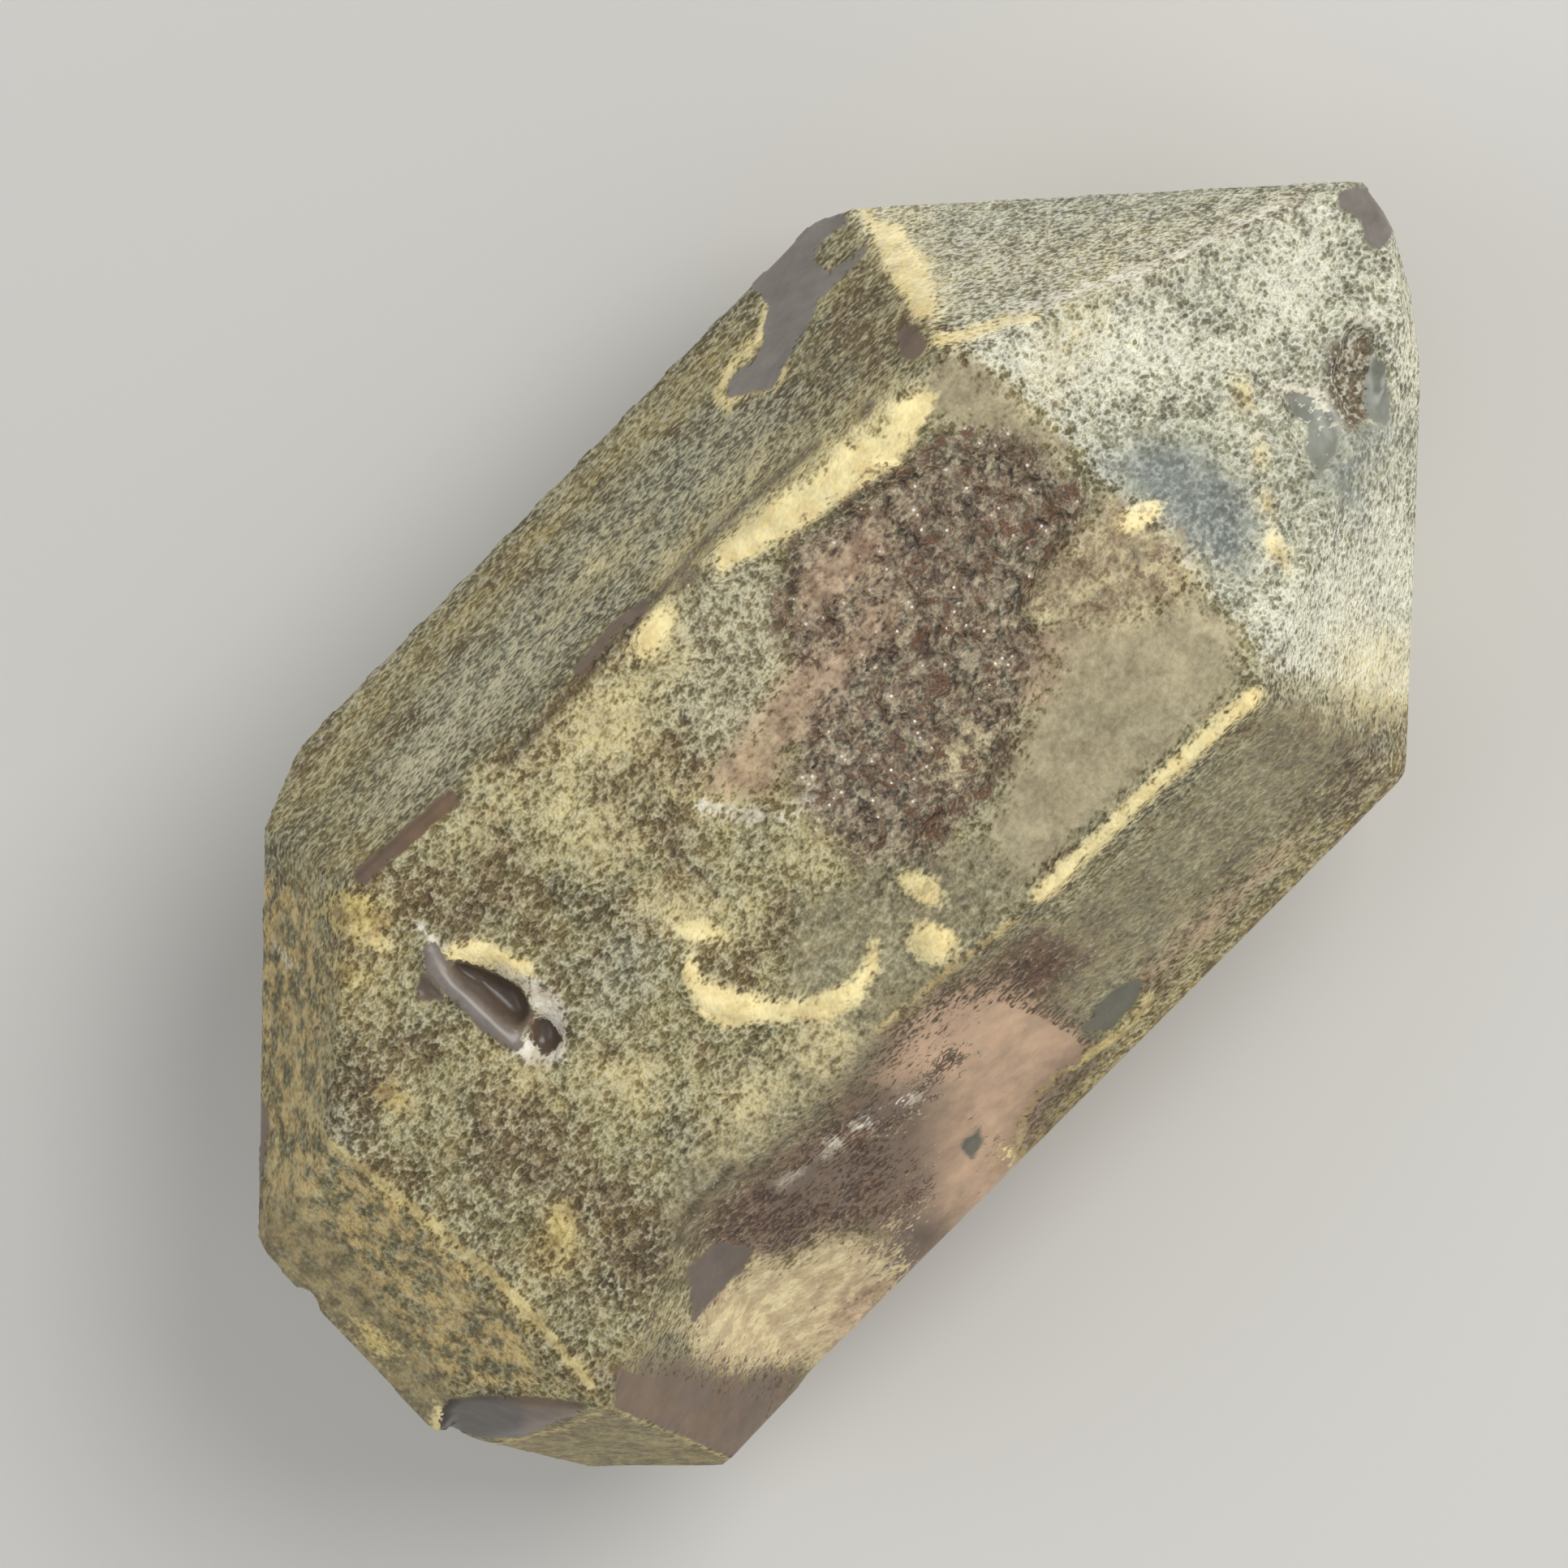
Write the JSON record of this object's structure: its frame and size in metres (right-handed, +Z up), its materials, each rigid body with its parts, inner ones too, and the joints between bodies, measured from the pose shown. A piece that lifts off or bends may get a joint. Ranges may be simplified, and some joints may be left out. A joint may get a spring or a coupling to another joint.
{
  "type": "smoky quartz crystal",
  "caption": "Doubly terminated smoky quartz crystal with a clay and druse skin, clear windows, a faceted pit and a broken base, lying on a prism face.",
  "frame": {"origin": "middle of the underside, on the surface that the crystal rests on", "axes": "+X along the growth axis towards the main point, +Y to the left seen from above, +Z up"},
  "size_m": [0.0524, 0.0278, 0.02],
  "materials": {
    "quartz": "smoky quartz under a fine-grained olive, cream and brown mineral skin, with clear glassy windows"
  },
  "bodies": {
    "root": {"quartz_crystal": "quartz"}
  },
  "joints": []
}
